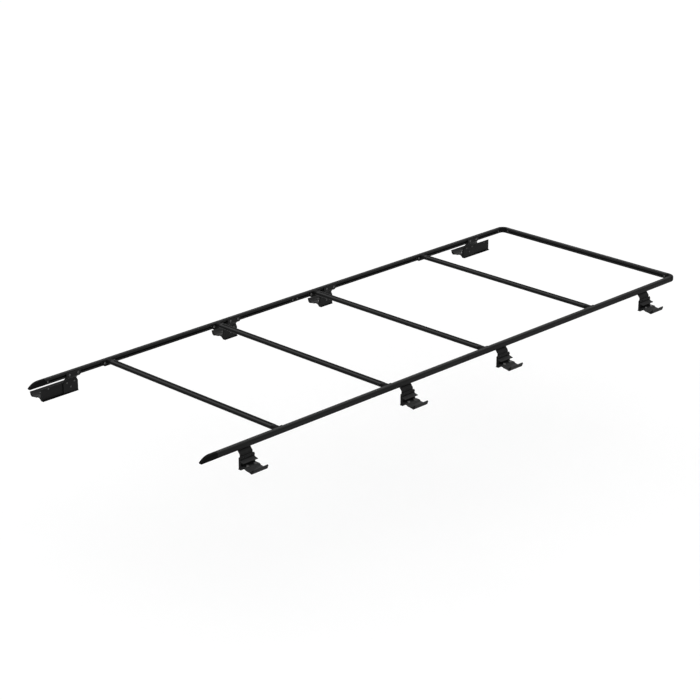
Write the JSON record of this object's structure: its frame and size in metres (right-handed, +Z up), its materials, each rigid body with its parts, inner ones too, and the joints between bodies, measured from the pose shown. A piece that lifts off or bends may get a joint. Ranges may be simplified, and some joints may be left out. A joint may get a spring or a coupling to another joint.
{
  "type": "roof ladder rack",
  "caption": "Low van roof rack: slotted side rails with tapered front caps, a rear rail, sliding crossbars and bolted feet that double as awning brackets.",
  "frame": {"origin": "under the middle of the rack, at the underside of the foot pads", "axes": "+X towards the closed rear rail, so the tapered front caps are at -X; +Y to the side with the two wide awning brackets; +Z up"},
  "size_m": [3.65, 1.5342, 0.1293],
  "materials": {
    "rail_extrusion": "black powder coat, satin",
    "corner_casting": "black powder coat over a casting, satin",
    "cap_plastic": "moulded black, fine grain",
    "bar_tube": "black powder coat, satin",
    "bar_end_casting": "black powder coat over a casting, satin",
    "foot_plate_steel": "black powder coat, satin",
    "awning_extrusion": "black powder coat, satin",
    "pad_rubber": "matt",
    "strip_rubber": "matt, ribbed",
    "bright_screw": "stainless, satin",
    "slot_nut_steel": "zinc plated",
    "roof_bolt_steel": "stainless, satin"
  },
  "bodies": {
    "rack": {"side_rail_left_front": "rail_extrusion", "side_rail_left_rear": "rail_extrusion", "side_rail_right_front": "rail_extrusion", "side_rail_right_rear": "rail_extrusion", "rear_rail": "rail_extrusion", "corner_left": "corner_casting", "corner_right": "corner_casting", "end_cap_left": "cap_plastic", "end_cap_right": "cap_plastic", "rail_joiner_left": "corner_casting", "rail_joiner_right": "corner_casting", "rail_plug_screws": "bright_screw", "foot_plate_left_1": "foot_plate_steel", "foot_plate_left_2": "foot_plate_steel", "foot_plate_left_3": "foot_plate_steel", "foot_plate_left_4": "foot_plate_steel", "foot_plate_right_1": "foot_plate_steel", "foot_plate_right_2": "foot_plate_steel", "foot_plate_right_3": "foot_plate_steel", "foot_plate_right_4": "foot_plate_steel", "awning_foot_left_1": "awning_extrusion", "awning_foot_left_2": "awning_extrusion", "awning_foot_left_3": "awning_extrusion", "awning_foot_left_4": "awning_extrusion", "awning_foot_right_1": "awning_extrusion", "awning_foot_right_2": "awning_extrusion", "awning_foot_right_3": "awning_extrusion", "awning_foot_right_4": "awning_extrusion", "pads_left": "pad_rubber", "pads_right": "pad_rubber", "foot_flange_screws": "bright_screw", "foot_slot_nuts": "slot_nut_steel", "foot_m6_screws": "bright_screw", "roof_bolts": "roof_bolt_steel"},
    "bar_1": {"crossbar_1": "bar_tube", "crossbar_1_end_left": "bar_end_casting", "crossbar_1_end_right": "bar_end_casting", "crossbar_1_strip": "strip_rubber", "crossbar_1_screws": "bright_screw", "crossbar_1_slot_nuts": "slot_nut_steel"},
    "bar_2": {"crossbar_2": "bar_tube", "crossbar_2_end_left": "bar_end_casting", "crossbar_2_end_right": "bar_end_casting", "crossbar_2_strip": "strip_rubber", "crossbar_2_screws": "bright_screw", "crossbar_2_slot_nuts": "slot_nut_steel"},
    "bar_3": {"crossbar_3": "bar_tube", "crossbar_3_end_left": "bar_end_casting", "crossbar_3_end_right": "bar_end_casting", "crossbar_3_strip": "strip_rubber", "crossbar_3_screws": "bright_screw", "crossbar_3_slot_nuts": "slot_nut_steel"},
    "bar_4": {"crossbar_4": "bar_tube", "crossbar_4_end_left": "bar_end_casting", "crossbar_4_end_right": "bar_end_casting", "crossbar_4_strip": "strip_rubber", "crossbar_4_screws": "bright_screw", "crossbar_4_slot_nuts": "slot_nut_steel"}
  },
  "joints": [
    {"name": "crossbar_1_slide", "type": "slide", "parent": "rack", "child": "bar_1", "axis": [1, 0, 0], "range_m": [-0.14, 0.3]},
    {"name": "crossbar_2_slide", "type": "slide", "parent": "rack", "child": "bar_2", "axis": [1, 0, 0], "range_m": [-0.35, 0.02]},
    {"name": "crossbar_3_slide", "type": "slide", "parent": "rack", "child": "bar_3", "axis": [1, 0, 0], "range_m": [-0.07, 0.02]},
    {"name": "crossbar_4_slide", "type": "slide", "parent": "rack", "child": "bar_4", "axis": [1, 0, 0], "range_m": [-0.6, 0.3]}
  ]
}
